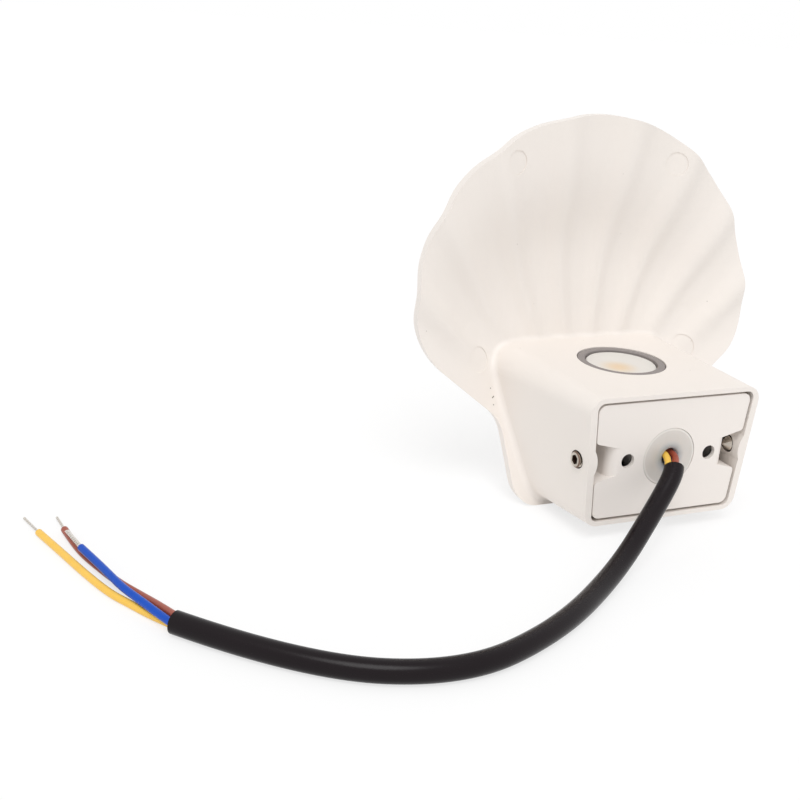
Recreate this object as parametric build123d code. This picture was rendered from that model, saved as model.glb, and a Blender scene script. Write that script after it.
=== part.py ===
from build123d import *
import math
import os

# Outdoor wall sconce: a die-cast scallop with a lamp box behind it, a wall plate, an LED, a driver and a cord
# Millimetres. The origin is the middle of the wall plate's rear face, +Z is up and the wall is towards +Y.

# Lamp box, sized across its rear rim
BOX_TOP_WIDTH = 61.0
BOX_BOTTOM_WIDTH = 54.5
BOX_HEIGHT = 40.5
CORD_AXIS_HEIGHT = 20.0
RIM_PROUD = 0.5
WALL = 2.2
ROOF_WALL = 1.4
SIDE_DRAFT = 4.5
REAR_CORNER = 4.5
FRONT_CORNER = 9.0
JOINT_FILLET = 2.0

# Scallop front
FAN_WIDTH = 125.0
FAN_HEIGHT = 122.0
FAN_CENTRE_Z = 32.0
SHELL_WALL = 3.0
RIM_DEPTH = 57.0
RIM_SWEEP = 22.7
FOOT_CURL = 8.6
DISH_DEPTH = 9.0
DISH_HALF_WIDTH = 50.0
DISH_HALF_HEIGHT = 38.0
DISH_CENTRE_Z = 28.0
FLUTE_ANGLE = 12.8
FLUTE_HEIGHT = 1.2
FLUTE_SHARPNESS = 0.2
FLUTE_FULL_RADIUS = 85.0
FLUTE_START_Z = 6.0
FLUTE_FADE = 24.0
SHOULDER_Z = 19.6
SHOULDER_RADIUS = 22.0
FOOT_WIDTH = 70.0
FOOT_TOP_Z = -1.0
FOOT_BOTTOM_Z = -24.5
FOOT_CORNER = 7.0
FOOT_LEDGE = 2.6
NECK_RADIUS = 8.0
GRID_STEP_X = 2.0
GRID_STEP_Z = 3.0
GRID_MARGIN = 4.0

# Ejector-pin marks on the back of the scallop
PIN_MARK_RADIUS = 3.8
PIN_MARK_DEPTH = 0.25
PIN_MARKS = ((30.0, 78.0), (40.0, 16.5))

# Wall plate
PLATE_GAP = 0.7
PLATE_TOP_GAP = 0.8
PLATE_DEPTH = 10.4
PLATE_WEB = 1.8
PLATE_SKIRT = 2.2
PLATE_CORNER = 2.5
WALL_SCREW_SPACING = 29.5
WALL_SCREW_HOLE = 4.5
NOTCH_MOUTH = 12.5
NOTCH_FLOOR = 10.0
NOTCH_DEPTH = 4.9
NOTCH_FRONT = 8.4
NOTCH_CORNER = 1.2
NOTCH_ROUND = 3.5

# Cable gland
GLAND_RADIUS = 9.0
GLAND_FLANGE = 4.0
GLAND_NECK_RADIUS = 5.5
GLAND_LIP_RADIUS = 7.0
GLAND_LIP = 2.2
GLAND_GRIP = 8.0
GLAND_HOLD = 2.0
GLAND_DIP_RADIUS = 4.4
GLAND_DIP_DEPTH = 1.0
GLAND_BORE_RADIUS = 2.55
GLAND_FLARE = 0.7
GLAND_FLARE_LENGTH = 4.5
SOFT_FIT = 0.2

# Set screws
SET_SCREW_RADIUS = 2.5
SET_SCREW_LENGTH = 5.0
SET_SCREW_POINT = 2.2
SET_SCREW_Y = -5.0
SET_SCREW_SOCKET_FLATS = 2.5
SET_SCREW_SOCKET_DEPTH = 2.0
SET_SCREW_TIP_RADIUS = 0.3
SET_SCREW_CHAMFER = 0.35
SET_SCREW_SUNK = 0.5
THREAD_FIT = 0.05
SCREW_BOSS_RADIUS = 8.0
SCREW_BOSS_STAND = 1.4
SCREW_BOSS_LENGTH = 13.0

# Lamp well in the top of the box
LAMP_Y = -30.4
SEAT_RADIUS = 14.1
SEAT_FIT = 0.25
WELL_DEPTH = 9.0
WELL_FLOOR = 3.5
WELL_WALL = 2.8
SEAL_HEIGHT = 3.2
SEAL_SUNK = 0.15
SEAL_ROUND = 0.3
LENS_RADIUS = 11.2
LENS_THICK = 2.4
LENS_EDGE = 0.4
BOARD_RADIUS = 13.8
BOARD_THICK = 1.6
CARRIER = 13.5
CARRIER_THICK = 0.8
PHOSPHOR_RADIUS = 5.0
PHOSPHOR_THICK = 0.6
REFLECTOR_WALL = 0.9
REFLECTOR_CLEAR = 0.3
REFLECTOR_MOUTH = 9.6
LED_SCREW_OFFSET = 10.4
LEAD_X = -9.0
LEAD_Y = -25.6
LEAD_STEP = 0.9
LEAD_START_Z = 0.0
LEAD_RADIUS = 0.6
LEAD_HOLE_RADIUS = 2.1

# Small screws
M2_RADIUS = 0.95
M2_HEAD_RADIUS = 1.9
M2_HEAD_HEIGHT = 1.2
M2_LENGTH = 4.4
M3_RADIUS = 1.4
M3_HEAD_RADIUS = 2.6
M3_HEAD_HEIGHT = 1.8
M3_LENGTH = 5.0
SCREW_SLOT = 0.6
SCREW_CLEAR = 0.15
HEAD_ROUND = 0.35

# Driver
DRIVER_WIDTH = 40.0
DRIVER_HEIGHT = 21.0
DRIVER_CENTRE_X = -3.0
DRIVER_CENTRE_Z = -5.5
DRIVER_FACE_Y = -20.4
DRIVER_THICK = 1.6
POST_RADIUS = 3.0
DRIVER_SCREWS = ((-19.5, 2.0), (13.5, -13.0))
TRANSFORMER = (12.0, 9.5, 11.0)
TRANSFORMER_AT = (-14.0, -9.0)
TRANSFORMER_CORE = 2.6
TRANSFORMER_FLANGE = 0.8
CAPACITOR_RADIUS = 4.0
CAPACITOR_LENGTH = 9.0
CAPACITOR_ROUND = 0.6
CAPACITOR_AT = (3.0, -10.0)
RECTIFIER = (6.0, 2.4, 4.6)
RECTIFIER_AT = (12.5, -5.5)
FUSE_RADIUS = 1.6
FUSE_LENGTH = 7.0
FUSE_AT = (11.5, 1.5)

# Earth bond
EARTH_X = 21.0
EARTH_Z = 5.9
EARTH_FACE_Y = -19.8
EARTH_POST_RADIUS = 3.6
EARTH_TAG_THICK = 0.8
EARTH_TAG_RADIUS = 3.4
EARTH_BARREL_RADIUS = 1.75
EARTH_BARREL_LENGTH = 5.0
EARTH_BARREL_START = 4.4
EARTH_TONGUE = 1.4

# Cord
SHEATH_RADIUS = 3.0
CORE_RADIUS = 1.05
STRAND_RADIUS = 0.45
CORE_SPREAD = 1.35
CORD_SHARE = 0.45
CORD_BEND = (-1.0, 3.0, 0.0)
BEND_TO_SHEATH = 3.0
BROWN_ANGLE = 150.0
BLUE_ANGLE = 270.0
YELLOW_ANGLE = 30.0

# Sizes worked out from the ones above
BOX_BOTTOM_Z = -CORD_AXIS_HEIGHT
BOX_TOP_Z = BOX_BOTTOM_Z + BOX_HEIGHT
SIDE_LEAN = (BOX_TOP_WIDTH - BOX_BOTTOM_WIDTH) / 2 / BOX_HEIGHT
FAN_TOP_Z = FAN_CENTRE_Z + FAN_HEIGHT / 2
DEEPEST_Y = -(RIM_DEPTH + DISH_DEPTH + FLUTE_HEIGHT * 2 + SHELL_WALL)
WELL_FLOOR_Z = BOX_TOP_Z - WELL_DEPTH
SEAT_Z = BOX_TOP_Z - SEAL_HEIGHT
BOARD_TOP_Z = WELL_FLOOR_Z + BOARD_THICK
WELL_OUTER = SEAT_RADIUS + WELL_WALL
DRIVER_FRONT_Y = DRIVER_FACE_Y - DRIVER_THICK

# Route of the cord: down from the gland, along the table and out to its free end
SHEATH_Z = FOOT_BOTTOM_Z + SHEATH_RADIUS
CORE_Z = FOOT_BOTTOM_Z + CORE_RADIUS
STRAND_Z = FOOT_BOTTOM_Z + STRAND_RADIUS
OVER_Z = CORE_Z + 2.15 * CORE_RADIUS
CORD_ROUTE = (
    (12.0, 12.1, -10.8),
    (32.0, 25.0, SHEATH_Z),
    (64.4, 47.7, SHEATH_Z),
    (97.0, 58.4, SHEATH_Z),
    (131.5, 44.0, SHEATH_Z),
    (154.2, 16.5, SHEATH_Z),
)
BROWN_ROUTE = (
    (153.45, 15.9, SHEATH_Z + 0.7 * CORE_SPREAD),
    (155.6, 7.2, CORE_Z + 1.4 * CORE_RADIUS),
    (158.5, -2.2, CORE_Z),
    (162.5, -10.3, CORE_Z),
    (166.6, -22.6, CORE_Z),
    (168.6, -30.1, CORE_Z),
    (169.8, -38.8, CORE_Z),
    (170.4, -44.1, CORE_Z),
    (171.0, -53.5, STRAND_Z),
)
BLUE_ROUTE = (
    (155.2, 17.35, SHEATH_Z + 0.3 * CORE_SPREAD),
    (157.2, 11.9, OVER_Z),
    (159.9, 4.3, OVER_Z),
    (162.7, -3.1, OVER_Z),
    (164.4, -10.5, OVER_Z),
    (166.2, -18.1, OVER_Z),
    (168.7, -27.7, OVER_Z),
    (170.4, -39.8, CORE_Z + CORE_RADIUS + 1.3 * STRAND_RADIUS),
)
YELLOW_ROUTE = (
    (153.95, 16.3, SHEATH_Z - 0.95 * CORE_SPREAD),
    (158.3, 8.4, CORE_Z),
    (161.8, 1.7, CORE_Z),
    (165.5, -4.8, CORE_Z),
    (169.6, -17.0, CORE_Z),
    (173.7, -31.5, CORE_Z),
    (177.4, -44.1, CORE_Z),
    (179.8, -55.4, STRAND_Z),
)
BROWN_END = (-3.2, DRIVER_FACE_Y, 1.9)
BROWN_TURN = -12.2
BLUE_END = (0.5, DRIVER_FACE_Y, -3.2)
BLUE_TURN = -12.2
YELLOW_END = (EARTH_X - EARTH_BARREL_START - EARTH_BARREL_LENGTH, EARTH_FACE_Y + EARTH_BARREL_RADIUS, EARTH_Z)
YELLOW_TURN = -13.0

os.makedirs("parts", exist_ok=True)


def save(shape, name):
    """Write one piece to its STEP file."""
    export_step(shape, f"parts/{name}.step")


def half_width(y, z):
    """Half width of the lamp box's outside at a depth and a height."""
    return BOX_BOTTOM_WIDTH / 2 + SIDE_LEAN * (z - BOX_BOTTOM_Z) + (RIM_PROUD - y) * DRAFT_SLOPE


def box_outline(y, inset, rise, corner):
    """Rounded trapezoid across the lamp box, drawn in from its sides, top and bottom, lying flat."""
    top = BOX_TOP_Z - rise
    bottom = BOX_BOTTOM_Z - (RIM_PROUD - y) * DRAFT_SLOPE + rise
    lower = half_width(y, bottom) - inset
    upper = half_width(y, top) - inset
    shape = Polygon((-lower, bottom), (lower, bottom), (upper, top), (-upper, top), align=None)
    return fillet(shape.vertices(), corner)


def box_loft(inset, rise):
    """The drafted lamp box, or its cavity when it is drawn in by its walls."""
    rear = Plane.XZ.offset(-RIM_PROUD) * box_outline(RIM_PROUD, inset, rise, REAR_CORNER - inset)
    front = Plane.XZ.offset(-DEEPEST_Y) * box_outline(DEEPEST_Y, inset, rise, FRONT_CORNER - inset)
    return loft([rear, front], ruled=True)


def smooth_step(t):
    """Rise from 0 to 1 with level ends."""
    t = min(1.0, max(0.0, t))
    return t * t * (3.0 - 2.0 * t)


def shell_depth(x, z):
    """Depth of the scallop's back in front of the wall plate: swept profile, dish and flutes."""
    drop = (FAN_TOP_Z - z) / (FAN_TOP_Z - FOOT_BOTTOM_Z)
    profile = RIM_DEPTH - RIM_SWEEP * drop**2 - FOOT_CURL * drop**4
    reach = (x / DISH_HALF_WIDTH) ** 2 + ((z - DISH_CENTRE_Z) / DISH_HALF_HEIGHT) ** 2
    dish = DISH_DEPTH * math.exp(-(reach**2))
    radius = math.hypot(x, z - FOOT_BOTTOM_Z)
    turn = math.atan2(x, z - FOOT_BOTTOM_Z) * 360.0 / FLUTE_ANGLE
    rise = smooth_step((z - FLUTE_START_Z) / FLUTE_FADE)
    height = FLUTE_HEIGHT * min(1.0, radius / FLUTE_FULL_RADIUS) * rise
    return profile + dish + height * (math.cos(turn) - FLUTE_SHARPNESS * rise * math.cos(2 * turn))


def spread(first, last, step):
    """Evenly spaced values from first to last, about one step apart."""
    count = math.ceil((last - first) / step)
    return [first + (last - first) * i / count for i in range(count + 1)]


def shell_back():
    """The fluted, dished surface of the scallop's back, a little larger than its outline."""
    columns = spread(-FAN_WIDTH / 2 - GRID_MARGIN, FAN_WIDTH / 2 + GRID_MARGIN, GRID_STEP_X)
    rows = spread(FOOT_BOTTOM_Z - GRID_MARGIN, FAN_TOP_Z + GRID_MARGIN, GRID_STEP_Z)
    points = [[(x, -shell_depth(x, z), z) for x in columns] for z in rows]
    return Face.make_surface_from_array_of_points(points, tol=0.05, min_deg=3, max_deg=3)


def shell_outline():
    """Bar with the front outline: a round fan on a narrow foot, with sloping shoulders."""
    shoulder = FAN_WIDTH / 2 * math.sqrt(1 - ((SHOULDER_Z - FAN_CENTRE_Z) / (FAN_HEIGHT / 2)) ** 2)
    fan = Pos(0, FAN_CENTRE_Z) * Ellipse(FAN_WIDTH / 2, FAN_HEIGHT / 2)
    fan -= Pos(0, SHOULDER_Z) * Rectangle(FAN_WIDTH, FAN_HEIGHT, align=(Align.CENTER, Align.MAX))
    neck = Polygon(
        (-shoulder, SHOULDER_Z),
        (-FOOT_WIDTH / 2, FOOT_TOP_Z),
        (-FOOT_WIDTH / 2, FOOT_BOTTOM_Z),
        (FOOT_WIDTH / 2, FOOT_BOTTOM_Z),
        (FOOT_WIDTH / 2, FOOT_TOP_Z),
        (shoulder, SHOULDER_Z),
        align=None,
    )
    bar = extrude(Plane.XZ * (fan + neck), -2 * DEEPEST_Y)
    bends = ((FOOT_BOTTOM_Z, FOOT_CORNER), (FOOT_TOP_Z, NECK_RADIUS), (SHOULDER_Z, SHOULDER_RADIUS))
    for height, radius in bends:
        edges = bar.edges().filter_by(Axis.Y).filter_by_position(Axis.Z, height - 0.1, height + 0.1)
        bar = fillet(edges, radius)
    return bar


def on_back(edge):
    """True for an edge above the foot where the lamp box stands on the scallop's back."""
    spots = [edge @ t for t in (0.1, 0.5, 0.9)]
    inside = all(abs(p.X) < half_width(p.Y, p.Z) + 1.0 for p in spots)
    high = spots[1].Z > FOOT_TOP_Z - FOOT_CORNER
    return inside and high and all(abs(p.Y + shell_depth(p.X, p.Z)) < 0.3 for p in spots)


def slab(x_size, y_from, y_to, z_from, z_to, x=0.0):
    """Block across the lamp, set by its limits in depth and height."""
    block = Box(x_size, abs(y_to - y_from), z_to - z_from)
    return Pos(x, (y_from + y_to) / 2, (z_from + z_to) / 2) * block


def rod(radius, y_from, y_to, x, z):
    """Round bar standing along the depth of the lamp."""
    return Pos(x, (y_from + y_to) / 2, z) * Rot(90, 0, 0) * Cylinder(radius, abs(y_to - y_from))


def drum(radius, z_from, z_to, x=0.0, y=LAMP_Y):
    """Upright cylinder in the lamp well."""
    return Pos(x, y, (z_from + z_to) / 2) * Cylinder(radius, z_to - z_from)


def pan_screw(radius, head_radius, head_height, length):
    """Slotted screw with its head above the origin and its shank below."""
    head = Cylinder(head_radius, head_height, align=(Align.CENTER, Align.CENTER, Align.MIN))
    head = fillet(head.edges().group_by(Axis.Z)[-1], head_height * HEAD_ROUND)
    slot = Pos(0, 0, head_height) * Box(head_radius * 3, SCREW_SLOT, head_height)
    shank = Cylinder(radius, length, align=(Align.CENTER, Align.CENTER, Align.MAX))
    return head - slot + shank


def bend_radii(points):
    """Radius for each corner of a route, from the shorter of the two runs that meet there."""
    radii = []
    for before, corner, after in zip(points, points[1:], points[2:]):
        first = corner - before
        second = after - corner
        half_turn = math.radians(first.get_angle(second)) / 2
        radii.append(CORD_SHARE * min(first.length, second.length) / math.tan(half_turn))
    return radii


def tube(name, points, radius):
    """Round cord swept along straight runs and tangent arcs."""
    points = [Vector(*p) for p in points]
    if len(points) == 2:
        path = Line(*points)
        radii = []
    else:
        radii = bend_radii(points)
        path = FilletPolyline(*points, radius=radii)
    section = Plane(origin=path @ 0, z_dir=path % 0) * Circle(radius)
    solid = sweep(section, path=path)
    share = solid.volume / (math.pi * radius**2 * path.length)
    print(f"{name}: {path.length:.1f} mm, bends {[round(r, 1) for r in radii]}, filled {share:.3f}")
    return solid


def lengthened(points, start=0.0, end=0.0):
    """The same route with its first and last runs carried on."""
    points = [Vector(*p) for p in points]
    if start:
        points[0] += (points[0] - points[1]).normalized() * start
    if end:
        points[-1] += (points[-1] - points[-2]).normalized() * end
    return points


# The sides keep their draft unless the foot is too narrow to leave a ledge beside them
foot_depth = RIM_PROUD + shell_depth(FOOT_WIDTH / 2, FOOT_TOP_Z)
rim_half = BOX_BOTTOM_WIDTH / 2 + SIDE_LEAN * (FOOT_TOP_Z - BOX_BOTTOM_Z)
DRAFT_SLOPE = min(math.tan(math.radians(SIDE_DRAFT)), (FOOT_WIDTH / 2 - FOOT_LEDGE - rim_half) / foot_depth)

# Scallop and lamp box, cast in one
back = shell_back()
in_front = extrude(back, -DEEPEST_Y, dir=(0, -1, 0))
scallop = extrude(back, SHELL_WALL, dir=(0, -1, 0)) & shell_outline()
box = box_loft(0, 0) - Pos(0, -SHELL_WALL / 2, 0) * in_front
casting = scallop + box
casting = fillet(casting.edges().filter_by(on_back), JOINT_FILLET)

# What stands in the hollow of the box: the lamp well, the posts and the set screws' bosses
cavity = box_loft(WALL, ROOF_WALL) - in_front
cavity -= slab(2 * WELL_OUTER, LAMP_Y + WELL_OUTER, DEEPEST_Y, WELL_FLOOR_Z - WELL_FLOOR, BOX_TOP_Z)
for x, z in DRIVER_SCREWS:
    cavity -= rod(POST_RADIUS, DRIVER_FRONT_Y, DEEPEST_Y, x, z)
cavity -= rod(EARTH_POST_RADIUS, EARTH_FACE_Y, DEEPEST_Y, EARTH_X, EARTH_Z)
boss_x = half_width(SET_SCREW_Y, 0) - WALL - SCREW_BOSS_STAND + SCREW_BOSS_RADIUS
for side in (-1, 1):
    cavity -= rod(SCREW_BOSS_RADIUS, RIM_PROUD, RIM_PROUD - SCREW_BOSS_LENGTH, side * boss_x, 0)
casting -= cavity

# Well for the lamp, and the holes for the screws and leads
casting -= drum(SEAT_RADIUS, WELL_FLOOR_Z, BOX_TOP_Z + WALL)
for x in (-LED_SCREW_OFFSET, LED_SCREW_OFFSET):
    casting -= drum(M2_RADIUS + SCREW_CLEAR, BOARD_TOP_Z - M2_LENGTH - SCREW_CLEAR, WELL_FLOOR_Z, x)
casting -= drum(LEAD_HOLE_RADIUS, WELL_FLOOR_Z - 2 * WELL_FLOOR, WELL_FLOOR_Z, LEAD_X, LEAD_Y)
for x, z in DRIVER_SCREWS:
    casting -= rod(M3_RADIUS + SCREW_CLEAR, DRIVER_FRONT_Y, DRIVER_FACE_Y - M3_LENGTH - SCREW_CLEAR, x, z)
tag_y = EARTH_FACE_Y + EARTH_TAG_THICK
casting -= rod(M3_RADIUS + SCREW_CLEAR, EARTH_FACE_Y, tag_y - M3_LENGTH - SCREW_CLEAR, EARTH_X, EARTH_Z)
casting -= Pos(0, SET_SCREW_Y, 0) * Rot(0, 90, 0) * Cylinder(SET_SCREW_RADIUS + THREAD_FIT, 2 * BOX_TOP_WIDTH)

# Ejector-pin marks, a shallow disc each
behind = Pos(0, -PIN_MARK_DEPTH, 0) * in_front
for x, z in PIN_MARKS:
    for side in (-1, 1):
        casting -= rod(PIN_MARK_RADIUS, 0, 2 * DEEPEST_Y, side * x, z) - behind
save(casting, "shell_body")

# Wall plate: a web inside a skirt, with a blind notch for the point of each set screw
plate_half = half_width(0, 0) - WALL - PLATE_GAP
plate_rise = ROOF_WALL + PLATE_TOP_GAP
outline = box_outline(0, WALL + PLATE_GAP, plate_rise, PLATE_CORNER)
hollow = box_outline(0, WALL + PLATE_GAP + PLATE_SKIRT, plate_rise + PLATE_SKIRT, PLATE_CORNER)
front = Plane.XZ.offset(NOTCH_FRONT) * outline
notch_end = plate_half - NOTCH_DEPTH
flare = NOTCH_MOUTH - NOTCH_FLOOR
for side in (-1, 1):
    outline -= Polygon(
        (side * notch_end, -NOTCH_FLOOR / 2),
        (side * notch_end, NOTCH_FLOOR / 2),
        (side * (plate_half + NOTCH_DEPTH), NOTCH_FLOOR / 2 + flare),
        (side * (plate_half + NOTCH_DEPTH), -NOTCH_FLOOR / 2 - flare),
        align=None,
    )
    wall_round_notch = Rectangle(2 * (NOTCH_DEPTH + PLATE_SKIRT), NOTCH_MOUTH + 2 * PLATE_SKIRT)
    hollow -= Pos(side * plate_half, 0) * wall_round_notch
mouths = [v for v in outline.vertices() if abs(v.X) > plate_half - 1 and abs(v.Y) < NOTCH_MOUTH]
outline = fillet(ShapeList(mouths), NOTCH_CORNER)
plate = extrude(Plane.XZ * outline, NOTCH_FRONT) + extrude(front, PLATE_DEPTH - NOTCH_FRONT)
inner = [
    e
    for e in plate.edges().filter_by(Axis.Z)
    if abs(e.center().Y) < 0.01 and abs(abs(e.center().X) - notch_end) < 0.01
]
plate = fillet(ShapeList(inner), NOTCH_ROUND)
gland_boss = rod(GLAND_RADIUS + SOFT_FIT + GLAND_HOLD, 0, -GLAND_GRIP, 0, 0)
plate -= extrude(Plane.XZ.offset(PLATE_WEB) * hollow, PLATE_DEPTH) - gland_boss
for side in (-1, 1):
    plate -= rod(SCREW_BOSS_RADIUS + PLATE_GAP, 0, -PLATE_DEPTH, side * boss_x, 0)
    plate -= rod(WALL_SCREW_HOLE / 2, 0, -PLATE_DEPTH, side * WALL_SCREW_SPACING / 2, 0)
plate -= rod(GLAND_RADIUS + SOFT_FIT, 0, -GLAND_FLANGE, 0, 0)
plate -= rod(GLAND_NECK_RADIUS + SOFT_FIT, 0, -PLATE_DEPTH, 0, 0)
save(plate, "mounting_plate")

# Cable gland
gland_end = -GLAND_GRIP - GLAND_LIP
gland = Polygon(
    (GLAND_BORE_RADIUS + GLAND_FLARE, gland_end),
    (GLAND_BORE_RADIUS, gland_end + GLAND_FLARE_LENGTH),
    (GLAND_BORE_RADIUS, -GLAND_DIP_DEPTH),
    (GLAND_DIP_RADIUS, 0),
    (GLAND_RADIUS, 0),
    (GLAND_RADIUS, -GLAND_FLANGE),
    (GLAND_NECK_RADIUS, -GLAND_FLANGE),
    (GLAND_NECK_RADIUS, -GLAND_GRIP),
    (GLAND_LIP_RADIUS, -GLAND_GRIP),
    (GLAND_LIP_RADIUS, gland_end),
    align=None,
)
save(revolve(gland, Axis.Y), "cable_gland")

# Set screws, point inwards
shank_length = SET_SCREW_LENGTH - SET_SCREW_POINT
set_screw = Cylinder(SET_SCREW_RADIUS, shank_length, align=(Align.CENTER, Align.CENTER, Align.MAX))
set_screw = chamfer(set_screw.edges().group_by(Axis.Z)[-1], SET_SCREW_CHAMFER)
point = Cone(SET_SCREW_TIP_RADIUS, SET_SCREW_RADIUS, SET_SCREW_POINT)
set_screw += Pos(0, 0, -shank_length - SET_SCREW_POINT / 2) * point
set_screw -= extrude(RegularPolygon(SET_SCREW_SOCKET_FLATS / math.sqrt(3), 6), -SET_SCREW_SOCKET_DEPTH)
for side, name in ((1, "left_set_screw"), (-1, "right_set_screw")):
    outer = side * (half_width(SET_SCREW_Y, 0) - SET_SCREW_SUNK)
    save(Pos(outer, SET_SCREW_Y, 0) * Rot(0, side * 90, 0) * set_screw, name)

# LED and its board on the floor of the well
led_screw = pan_screw(M2_RADIUS, M2_HEAD_RADIUS, M2_HEAD_HEIGHT, M2_LENGTH)
led_board = drum(BOARD_RADIUS, WELL_FLOOR_Z, BOARD_TOP_Z)
led_screws = []
for x in (-LED_SCREW_OFFSET, LED_SCREW_OFFSET):
    led_board -= drum(M2_RADIUS + SCREW_CLEAR, WELL_FLOOR_Z, BOARD_TOP_Z, x)
    led_screws.append(Pos(x, LAMP_Y, BOARD_TOP_Z) * led_screw)
save(led_board, "led_board")
save(Compound(children=led_screws), "led_board_screws")
carrier_top = BOARD_TOP_Z + CARRIER_THICK
save(Pos(0, LAMP_Y, BOARD_TOP_Z + CARRIER_THICK / 2) * Box(CARRIER, CARRIER, CARRIER_THICK), "led_carrier")
save(drum(PHOSPHOR_RADIUS, carrier_top, carrier_top + PHOSPHOR_THICK), "led_phosphor")

# Reflector cup, lens and the seal round it
cup_outer = SEAT_RADIUS - SEAT_FIT
cup_foot = PHOSPHOR_RADIUS + 2 * REFLECTOR_CLEAR
cup_low = carrier_top + REFLECTOR_CLEAR
cup = Polygon(
    (cup_foot, cup_low),
    (REFLECTOR_MOUTH, SEAT_Z),
    (cup_outer, SEAT_Z),
    (cup_outer, BOARD_TOP_Z),
    (cup_outer - REFLECTOR_WALL, BOARD_TOP_Z),
    (cup_outer - REFLECTOR_WALL, SEAT_Z - REFLECTOR_WALL),
    (REFLECTOR_MOUTH + REFLECTOR_WALL, SEAT_Z - REFLECTOR_WALL),
    (cup_foot + REFLECTOR_WALL, cup_low),
    align=None,
)
save(Pos(0, LAMP_Y, 0) * revolve(Plane.XZ * cup, Axis.Z), "reflector")
lens = drum(LENS_RADIUS, SEAT_Z, SEAT_Z + LENS_THICK)
save(chamfer(lens.edges().group_by(Axis.Z)[-1], LENS_EDGE), "lens")
seal_top = BOX_TOP_Z - SEAL_SUNK
seal = drum(SEAT_RADIUS - SEAT_FIT, SEAT_Z, seal_top) - drum(LENS_RADIUS + SEAT_FIT, SEAT_Z, seal_top)
save(fillet(seal.edges().group_by(Axis.Z)[-1], SEAL_ROUND), "lens_seal")

# Driver board with its parts on the rear side
driver_low = DRIVER_CENTRE_Z - DRIVER_HEIGHT / 2
driver_high = DRIVER_CENTRE_Z + DRIVER_HEIGHT / 2
driver = slab(DRIVER_WIDTH, DRIVER_FRONT_Y, DRIVER_FACE_Y, driver_low, driver_high, DRIVER_CENTRE_X)
m3_screw = Rot(-90, 0, 0) * pan_screw(M3_RADIUS, M3_HEAD_RADIUS, M3_HEAD_HEIGHT, M3_LENGTH)
driver_screws = []
for x, z in DRIVER_SCREWS:
    driver -= rod(M3_RADIUS + SCREW_CLEAR, DRIVER_FRONT_Y, DRIVER_FACE_Y, x, z)
    driver_screws.append(Pos(x, DRIVER_FACE_Y, z) * m3_screw)
save(driver, "driver_board")
save(Compound(children=driver_screws), "driver_screws")


def on_driver(size, at):
    """Block standing on the driver board: width, stand and height, and its place."""
    width, stand, height = size
    x, z = at
    return slab(width, DRIVER_FACE_Y, DRIVER_FACE_Y + stand, z - height / 2, z + height / 2, x)


width, stand, height = TRANSFORMER
winding = on_driver((width - 2 * TRANSFORMER_CORE, stand, height + 2 * TRANSFORMER_FLANGE), TRANSFORMER_AT)
save(on_driver(TRANSFORMER, TRANSFORMER_AT) + winding, "driver_transformer")
x, z = CAPACITOR_AT
capacitor = rod(CAPACITOR_RADIUS, DRIVER_FACE_Y, DRIVER_FACE_Y + CAPACITOR_LENGTH, x, z)
save(fillet(capacitor.edges().group_by(Axis.Y)[-1], CAPACITOR_ROUND), "driver_capacitor")
save(on_driver(RECTIFIER, RECTIFIER_AT), "driver_rectifier")
x, z = FUSE_AT
fuse = Pos(x, DRIVER_FACE_Y + FUSE_RADIUS, z) * Rot(0, 90, 0) * Cylinder(FUSE_RADIUS, FUSE_LENGTH)
fuse += on_driver((FUSE_LENGTH, FUSE_RADIUS, FUSE_RADIUS), FUSE_AT)
save(fuse, "driver_fuse")
for name, step in (("led_positive_lead", -LEAD_STEP), ("led_negative_lead", LEAD_STEP)):
    x = LEAD_X + step
    route = ((x, DRIVER_FRONT_Y, LEAD_START_Z), (x, LEAD_Y, LEAD_START_Z), (x, LEAD_Y, WELL_FLOOR_Z))
    save(tube(name, route, LEAD_RADIUS), name)

# Earth bond: a crimped ring tag under a screw on its own post
barrel_x = EARTH_X - EARTH_BARREL_START - EARTH_BARREL_LENGTH
barrel_y = EARTH_FACE_Y + EARTH_BARREL_RADIUS
barrel = Cylinder(EARTH_BARREL_RADIUS, EARTH_BARREL_LENGTH, align=(Align.CENTER, Align.CENTER, Align.MIN))
tag = rod(EARTH_TAG_RADIUS, EARTH_FACE_Y, tag_y, EARTH_X, EARTH_Z)
tongue_x = EARTH_X - EARTH_BARREL_START / 2
tag += slab(EARTH_BARREL_START, EARTH_FACE_Y, tag_y, EARTH_Z - EARTH_TONGUE, EARTH_Z + EARTH_TONGUE, tongue_x)
tag += Pos(barrel_x, barrel_y, EARTH_Z) * Rot(0, 90, 0) * barrel
tag -= rod(M3_RADIUS + SCREW_CLEAR, EARTH_FACE_Y, tag_y, EARTH_X, EARTH_Z)
save(tag, "earth_terminal")
save(Pos(EARTH_X, tag_y, EARTH_Z) * m3_screw, "earth_screw")

# Cord, from the gland down to the table and round to its free end
bend = Vector(*CORD_BEND)
first_route = Vector(*CORD_ROUTE[0])
lead_out = (first_route - bend).normalized()
sheath_start = bend + lead_out * BEND_TO_SHEATH
sheath_points = [sheath_start] + [Vector(*p) for p in CORD_ROUTE]
sheath = tube("cord_sheath", sheath_points, SHEATH_RADIUS)
save(sheath, "cord_sheath")

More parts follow.
